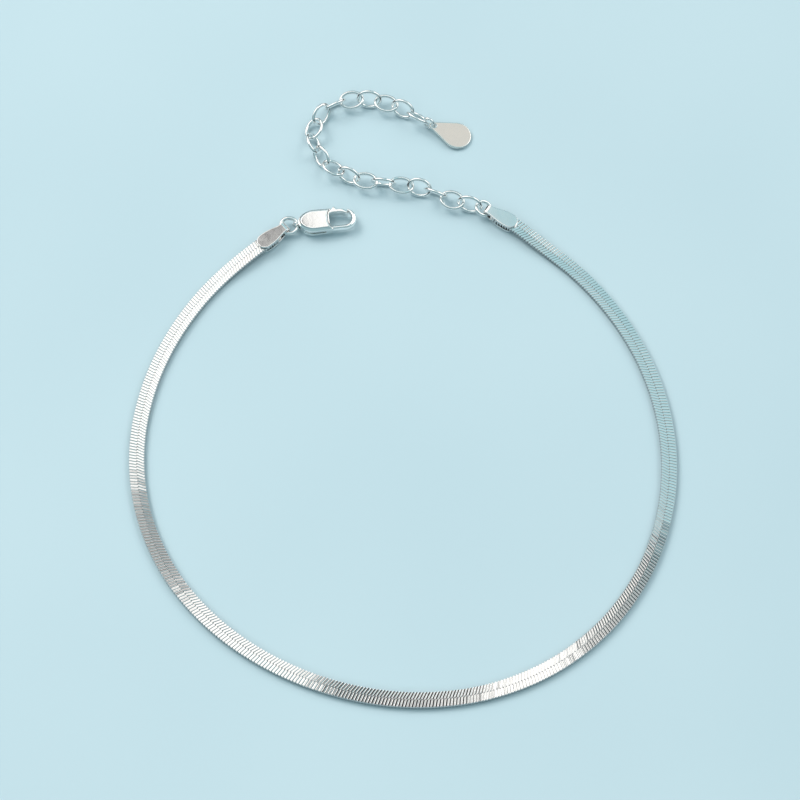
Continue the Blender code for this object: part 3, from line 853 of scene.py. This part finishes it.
@dataclass
class Studio:
    """The pale surface, the soft lights, the sky that the metal reflects, and the camera."""

    floor_finish: PaperFinish
    field_of_view: float = 20.0
    elevation: float = 64.0
    distance: float = 0.338
    look_at: tuple[float, float] = (-0.00042, -0.00286)
    clip: tuple[float, float] = (0.01, 20.0)
    floor_size: float = 3.0
    panels: tuple[SoftPanel, ...] = (
        SoftPanel("left_key", (-0.44, 0.38, 0.62), 2.9, (1.0, 0.94, 0.9)),
        SoftPanel("right_key", (0.42, 0.42, 0.62), 0.85, (1.0, 0.95, 0.92)),
        SoftPanel("front_fill", (-0.2, -0.5, 0.5), 0.85, (1.0, 0.95, 0.92)),
    )
    bright_sky: tuple[float, float, float] = (1.15, 1.14, 1.11)
    pale_sky: tuple[float, float, float] = (0.405, 0.645, 0.70)
    warm_sky: tuple[float, float, float] = (0.70, 0.69, 0.65)
    low_sky: tuple[float, float, float] = (0.025, 0.03, 0.035)
    # The pale sky's strength where it lies in front of the bright side
    front_share: float = 0.7
    # How much brighter the bright sky is out to the sides, and between which squared distances that comes in
    side_glow: float = 0.55
    glow_from: tuple[float, float] = (0.04, 0.12)
    # The bright side ends along a slanted line: how it slants, and where it fades
    slant: float = 0.39
    left_edge: tuple[float, float] = (0.25, 0.19)
    # The far right is bright again, from here
    right_edge: tuple[float, float] = (0.3, 0.42)
    # Between which heights the sky goes from dark to full, and where the bright side begins behind the camera
    skyline: tuple[float, float] = (0.2, 0.5)
    back_edge: tuple[float, float] = (-0.12, 0.14)
    warm_spot: SkySpot = SkySpot(0.246, 0.45, 0.08, 1.0)
    dim_spots: tuple[SkySpot, ...] = (
        SkySpot(0.001, 0.318, 0.042, 0.0), SkySpot(-0.109, 0.378, 0.027, 0.2),
        SkySpot(0.1, 0.356, 0.034, 0.1), SkySpot(-0.057, 0.503, 0.016, 0.0),
    )

    def camera(self) -> bpy.types.Object:
        """The camera at the photograph's angle.

        Returns:
            The camera, which is the scene's own.
        """
        data = bpy.data.cameras.new("camera")
        data.sensor_fit = "HORIZONTAL"
        data.angle = math.radians(self.field_of_view)
        data.clip_start, data.clip_end = self.clip
        seen = bpy.data.objects.new("camera", data)
        rise = math.radians(self.elevation)
        away = Vector((0.0, -math.cos(rise), math.sin(rise))) * self.distance
        seen.location = Vector((*self.look_at, 0.0)) + away
        seen.rotation_euler = (math.radians(90 - self.elevation), 0.0, 0.0)
        bpy.context.scene.collection.objects.link(seen)
        bpy.context.scene.camera = seen
        return seen

    def floor(self) -> bpy.types.Object:
        """The surface under the anklet.

        Returns:
            The surface.
        """
        mesh = bmesh.new()
        bmesh.ops.create_grid(mesh, x_segments=1, y_segments=1, size=self.floor_size / 2)
        data = bpy.data.meshes.new("floor")
        mesh.to_mesh(data)
        mesh.free()
        data.materials.append(self.floor_finish.material())
        made = new_piece("floor", data)
        return made

    def surroundings(self) -> None:
        """The sky that the metal reflects: bright to the left and far right, pale between, dark low down.

        A few round spots in it are dimmer, and one to the right is warm.
        """
        world = bpy.data.worlds.new("room")
        world.use_nodes = True
        sheet = NodeSheet(world.node_tree)
        place = sheet.add("ShaderNodeTexCoord").outputs["Generated"]
        way = sheet.add("ShaderNodeSeparateXYZ", Vector=place)
        across, back, up = (sheet.signal(way.outputs[axis]) for axis in "XYZ")
        side = sheet.step(across + self.slant * back, *self.left_edge)
        side = side + (1 - side) * sheet.step(across, *self.right_edge)
        high = sheet.step(up, *self.skyline)
        open_sky = high
        for spot in self.dim_spots:
            open_sky = open_sky * (spot.level + (1 - spot.level) * spot.outside(sheet, across, back))
        warm = (1 - self.warm_spot.outside(sheet, across, back)) * high
        bright = side * sheet.step(back, *self.back_edge)
        strength = self.front_share + (1 - self.front_share) * (1 - side)
        pale = open_sky * (1 - warm) * (1 - bright) * strength
        bright = bright * open_sky * (1 + self.side_glow * sheet.step(across * across, *self.glow_from))
        red, green, blue = (
            bright * strong + pale * soft + warm * sunny + low
            for strong, soft, sunny, low in zip(self.bright_sky, self.pale_sky, self.warm_sky, self.low_sky)
        )
        tone = sheet.add("ShaderNodeCombineColor", Red=red, Green=green, Blue=blue)
        sheet.feed(world.node_tree.nodes["Background"].inputs["Color"], tone.outputs[0])
        bpy.context.scene.world = world

    def build(self) -> None:
        """Set up the whole stage."""
        self.camera()
        self.floor()
        self.surroundings()
        for panel in self.panels:
            panel.build()
        bpy.context.scene.view_settings.view_transform = "Standard"


def main() -> None:
    """Build every sub-assembly in turn and report each piece."""
    logging.basicConfig(level=logging.INFO, format="%(name)s: %(message)s")
    polished = SilverFinish(
        "polished_silver_looks", "polished_silver", (0.93, 0.93, 0.92), (0.88, 0.88, 0.87),
        roughness=0.06, roughness_spread=0.03, scratch_depth=0.01, dent_depth=0.006,
    )
    # Cast pieces get dark painted shade in their inner corners
    cast = replace(
        polished, name="cast_silver_looks", painted_shade=PaintedShade.CORNERS, painted_shade_tone=(0.16, 0.15, 0.14)
    )
    # The bars get painted shade in the gaps between them
    bars = SilverFinish(
        "bar_silver_looks", "woven_silver", (0.94, 0.93, 0.92), (0.88, 0.88, 0.87),
        roughness=0.06, roughness_spread=0.02, scratch_depth=0.006, dent_depth=0.003,
        painted_shade=PaintedShade.BAR_GAPS,
    )
    duller = SilverFinish(
        "cap_silver_looks", "polished_silver", (0.90, 0.89, 0.88), (0.84, 0.83, 0.82),
        roughness=0.08, roughness_spread=0.04, scratch_depth=0.012, dent_depth=0.006,
    )
    warm = SilverFinish(
        "tag_silver_looks", "tag_silver", (0.92, 0.90, 0.86), (0.87, 0.85, 0.81), roughness=0.1
    )
    links = tuple(sorted(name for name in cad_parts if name.startswith("extender_link_")))

    Studio(PaperFinish("pale_paper", (0.48, 0.615, 0.668), (0.452, 0.588, 0.644))).build()
    parts = [
        HerringboneBand(bars),
        WireOvals("extender_links", links, polished, 4.1 * MM, 3.2 * MM, wire=0.52 * MM),
        WireOvals("clasp_ring", ("clasp_jump_ring",), polished, 3.2 * MM, 3.2 * MM, wire=0.6 * MM),
        WireOvals("cap_ring", ("extender_ring",), polished, 2.9 * MM, 2.9 * MM, wire=0.5 * MM),
        WireOvals("hanging_ring", ("tag_ring",), polished, 2.3 * MM, 2.3 * MM, wire=0.42 * MM),
        CastPiece("clasp_shell_and_hook", "clasp_body", cast),
        CastPiece("clasp_thumb_lever", "clasp_lever", cast, body="lever"),
        CastPiece("cap_clasp_side", "end_cap_clasp_side", duller, grid=0.04, passes=6),
        CastPiece("cap_extender_side", "end_cap_extender_side", duller, grid=0.04, passes=6),
        CastPiece("tag_plate", "teardrop_tag", warm, grid=0.04, passes=6),
    ]
    for part in parts:
        piece = part.build()
        LOG.info("%s: %d faces", piece.name, len(piece.data.polygons))


if __name__ == "__main__":
    main()
